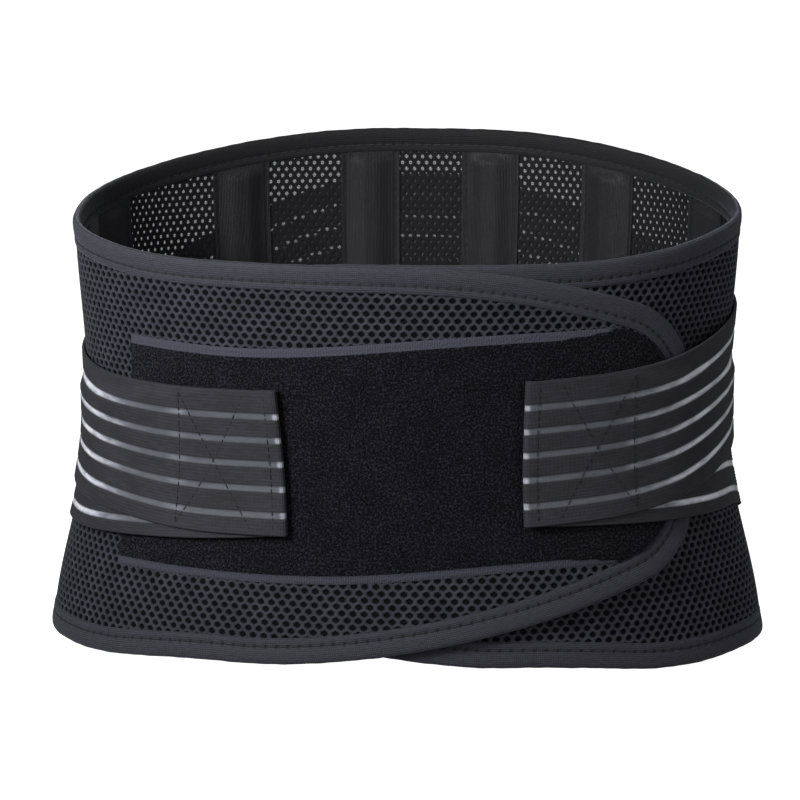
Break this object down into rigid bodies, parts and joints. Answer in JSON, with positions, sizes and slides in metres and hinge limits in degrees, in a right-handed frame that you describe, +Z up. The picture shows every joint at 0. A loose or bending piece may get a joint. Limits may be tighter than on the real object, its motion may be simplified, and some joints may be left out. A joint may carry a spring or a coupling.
{
  "type": "lumbar support belt",
  "caption": "Tall wrap-round lumbar support belt with a net back, sewn-in stays, overlapping mesh front panels and ribbed elastic straps that close with hook and loop.",
  "frame": {"origin": "on the surface that the belt stands on, under the centre of its box", "axes": "+Z up the wearer's spine, -Y to the belly where the panels close, +X to the wearer's left, along the longest side"},
  "size_m": [0.3582, 0.2462, 0.245],
  "materials": {
    "open_net": "see-through knitted net, matt black",
    "spacer_mesh": "perforated spacer mesh, soft sheen, charcoal black",
    "binding_tape": "folded knit tape with a coverstitch row, black",
    "pocket_tape": "smooth satin-like woven tape, black",
    "ribbed_elastic": "ribbed elastic webbing, black bands with grey translucent stripes",
    "hook_tape": "moulded hook tape, black",
    "loop_pile": "brushed loop pile, deep black, matt",
    "stay_steel": "flat spring steel"
  },
  "bodies": {
    "back": {"back_mesh": "open_net", "back_top_binding": "binding_tape", "back_bottom_binding": "binding_tape", "stay_1": "stay_steel", "stay_2": "stay_steel", "stay_3": "stay_steel", "stay_4": "stay_steel", "stay_5": "stay_steel", "stay_6": "stay_steel", "stay_pocket_1": "pocket_tape", "stay_pocket_2": "pocket_tape", "stay_pocket_3": "pocket_tape", "stay_pocket_4": "pocket_tape", "stay_pocket_5": "pocket_tape", "stay_pocket_6": "pocket_tape", "left_upper_strap_back": "ribbed_elastic", "left_lower_strap_back": "ribbed_elastic", "right_upper_strap_back": "ribbed_elastic", "right_lower_strap_back": "ribbed_elastic"},
    "left_front": {"left_front_panel": "spacer_mesh", "left_front_binding": "binding_tape", "front_loop_patch": "loop_pile", "closure_hook_pad": "hook_tape", "left_upper_strap_side": "ribbed_elastic", "left_lower_strap_side": "ribbed_elastic"},
    "right_front": {"right_front_panel": "spacer_mesh", "right_front_binding": "binding_tape", "inner_loop_patch": "loop_pile"},
    "left_strap": {"left_upper_strap_front": "ribbed_elastic", "left_lower_strap_front": "ribbed_elastic", "left_hook_tab": "hook_tape"},
    "right_strap": {"right_upper_strap_front": "ribbed_elastic", "right_lower_strap_front": "ribbed_elastic", "right_hook_tab": "hook_tape"}
  },
  "joints": [
    {"name": "left_front_hinge", "type": "hinge", "parent": "back", "child": "left_front", "pos_m": [-0.173, 0.00062, 0.1], "axis": [0, 0, -1], "range_deg": [0, 60]},
    {"name": "right_front_hinge", "type": "hinge", "parent": "back", "child": "right_front", "pos_m": [0.173, 0.00062, 0.1], "axis": [0, 0, 1], "range_deg": [0, 21]},
    {"name": "right_strap_hinge", "type": "hinge", "parent": "back", "child": "right_strap", "pos_m": [0.173, 0.00062, 0.1], "axis": [0, 0, 1], "range_deg": [0, 150]},
    {"name": "left_strap_peel", "type": "hinge", "parent": "left_front", "child": "left_strap", "pos_m": [-0.15551, -0.05709, 0.1], "axis": [0, 0, -1], "range_deg": [0, 110]}
  ],
  "couplings": [
    {"joint": "right_front_hinge", "follows": "left_front_hinge", "ratio": 0.35},
    {"joint": "right_strap_hinge", "follows": "left_front_hinge", "ratio": 2.5}
  ]
}
